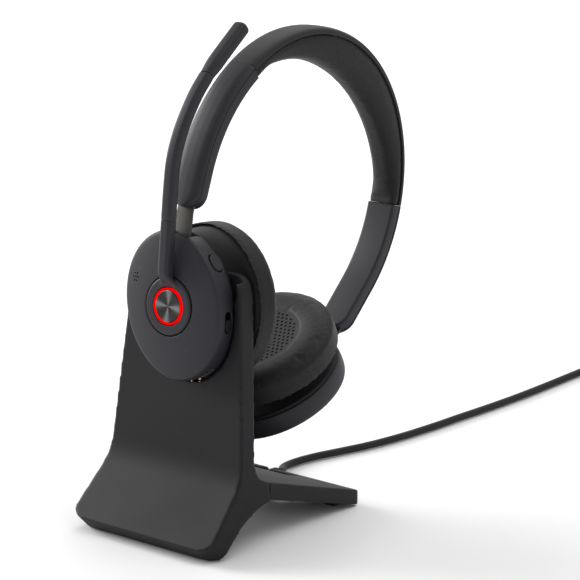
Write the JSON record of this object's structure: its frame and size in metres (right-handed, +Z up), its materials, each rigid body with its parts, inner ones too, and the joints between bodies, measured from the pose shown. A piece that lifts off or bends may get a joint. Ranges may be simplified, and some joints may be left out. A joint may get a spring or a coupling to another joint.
{
  "type": "wireless office headset on a charging stand",
  "caption": "Wireless office headset with padded ear cushions and a swinging boom microphone, docked on a leaning desk charging stand with a USB cable.",
  "frame": {"origin": "on the floor under the middle of the headset and stand, not counting the cable", "axes": "+X right seen from the front, +Y to the back, +Z up"},
  "size_m": [0.0946, 0.3853, 0.2089],
  "materials": {
    "stand_plastic": "fine matt texture",
    "cover_plastic": "fine matt texture",
    "arm_plastic": "satin",
    "black_plastic": "satin",
    "cable_rubber": "matt",
    "leatherette": "fine grain, matt",
    "soft_cover": "soft-touch matt",
    "speaker_cloth": "fine woven",
    "spun_metal": "radially spun",
    "slider_metal": "satin",
    "steel": "satin",
    "contact_metal": "polished",
    "circuit_board": "solder mask",
    "battery_foil": "satin foil",
    "red_light": "lit diffuser"
  },
  "bodies": {
    "stand": {"stand_front_shell": "stand_plastic", "stand_rear_leg": "stand_plastic", "leg_base_plate": "black_plastic", "stand_circuit_board": "circuit_board", "foot_pad_front": "cable_rubber", "foot_pad_rear_left": "cable_rubber", "foot_pad_rear_right": "cable_rubber", "notch_liner": "cable_rubber", "contact_block": "black_plastic", "contact_pin_left": "contact_metal", "contact_pin_right": "contact_metal", "cable_gland": "cable_rubber", "cord_tube": "cable_rubber", "cord_tail": "cable_rubber", "cord_coil": "cable_rubber", "cord_tie": "speaker_cloth", "plug_strain_relief": "cable_rubber", "plug_body": "black_plastic", "plug_shell": "steel", "plug_tongue": "black_plastic"},
    "near_cup": {"near_housing_cover": "cover_plastic", "near_housing_base": "black_plastic", "near_swivel_pin": "steel", "near_tilt_pin": "steel", "hub_bearing": "black_plastic", "battery": "battery_foil", "main_board": "circuit_board", "charge_contact_left": "contact_metal", "charge_contact_right": "contact_metal", "usb_socket": "steel"},
    "near_speaker": {"near_speaker_shell": "black_plastic", "near_baffle": "black_plastic", "near_speaker_driver": "steel", "near_ear_cushion": "leatherette", "near_speaker_cloth": "speaker_cloth"},
    "boom": {"boom_hub": "cover_plastic", "boom_arm": "cover_plastic", "boom_tip": "cover_plastic", "light_ring": "red_light"},
    "call_button": {"call_button": "spun_metal"},
    "pill_button": {"pill_button": "cover_plastic"},
    "power_switch": {"power_switch": "black_plastic"},
    "near_slider": {"near_slider": "slider_metal"},
    "headband": {"near_arm_shell": "arm_plastic", "near_arm_liner": "arm_plastic", "far_arm_shell": "arm_plastic", "far_arm_liner": "arm_plastic", "top_cover": "soft_cover", "spring_strip": "steel", "top_pad": "leatherette"},
    "far_slider": {"far_slider": "slider_metal"},
    "far_cup": {"far_housing_cover": "cover_plastic", "far_housing_base": "black_plastic", "far_swivel_pin": "steel", "far_tilt_pin": "steel"},
    "far_speaker": {"far_speaker_shell": "black_plastic", "far_baffle": "black_plastic", "far_speaker_driver": "steel", "far_ear_cushion": "leatherette", "far_speaker_cloth": "speaker_cloth"}
  },
  "joints": [
    {"name": "headset_lift", "type": "slide", "parent": "stand", "child": "near_cup", "axis": [0, 0.1045, 0.9945], "range_m": [0, 0.12]},
    {"name": "boom_swing", "type": "hinge", "parent": "near_cup", "child": "boom", "pos_m": [0, -0.0641, 0.0979], "axis": [0, -0.9945, 0.1045], "range_deg": [-135, 135]},
    {"name": "call_press", "type": "slide", "parent": "boom", "child": "call_button", "axis": [0, 0.9945, -0.1045], "range_m": [0, 0.0004], "stiffness_N_per_m": 800},
    {"name": "pill_press", "type": "slide", "parent": "near_cup", "child": "pill_button", "axis": [-0.7653, -0.0673, -0.6402], "range_m": [0, 0.0005], "stiffness_N_per_m": 800},
    {"name": "power_slide", "type": "slide", "parent": "near_cup", "child": "power_switch", "axis": [-0.0213, 0.1045, 0.9943], "range_m": [0, 0.0024]},
    {"name": "near_speaker_swivel", "type": "hinge", "parent": "near_cup", "child": "near_speaker", "pos_m": [0, -0.04272, 0.09565], "axis": [0, 0.1045, 0.9945], "range_deg": [0, 14]},
    {"name": "near_tilt", "type": "hinge", "parent": "near_cup", "child": "near_slider", "pos_m": [0, -0.05524, 0.11909], "axis": [1, 0, 0], "range_deg": [0, 4]},
    {"name": "near_slide", "type": "slide", "parent": "near_slider", "child": "headband", "axis": [0, 0.3456, 0.9384], "range_m": [-0.006, 0]},
    {"name": "far_slide", "type": "slide", "parent": "headband", "child": "far_slider", "axis": [0, -0.7167, -0.6974], "range_m": [0, 0.01]},
    {"name": "far_tilt", "type": "hinge", "parent": "far_slider", "child": "far_cup", "pos_m": [0, 0.02473, 0.05836], "axis": [1, 0, 0], "range_deg": [0, 12]},
    {"name": "far_speaker_swivel", "type": "hinge", "parent": "far_cup", "child": "far_speaker", "pos_m": [0, -0.00169, 0.06118], "axis": [0, 0.8829, 0.4695], "range_deg": [-5, 5]}
  ]
}
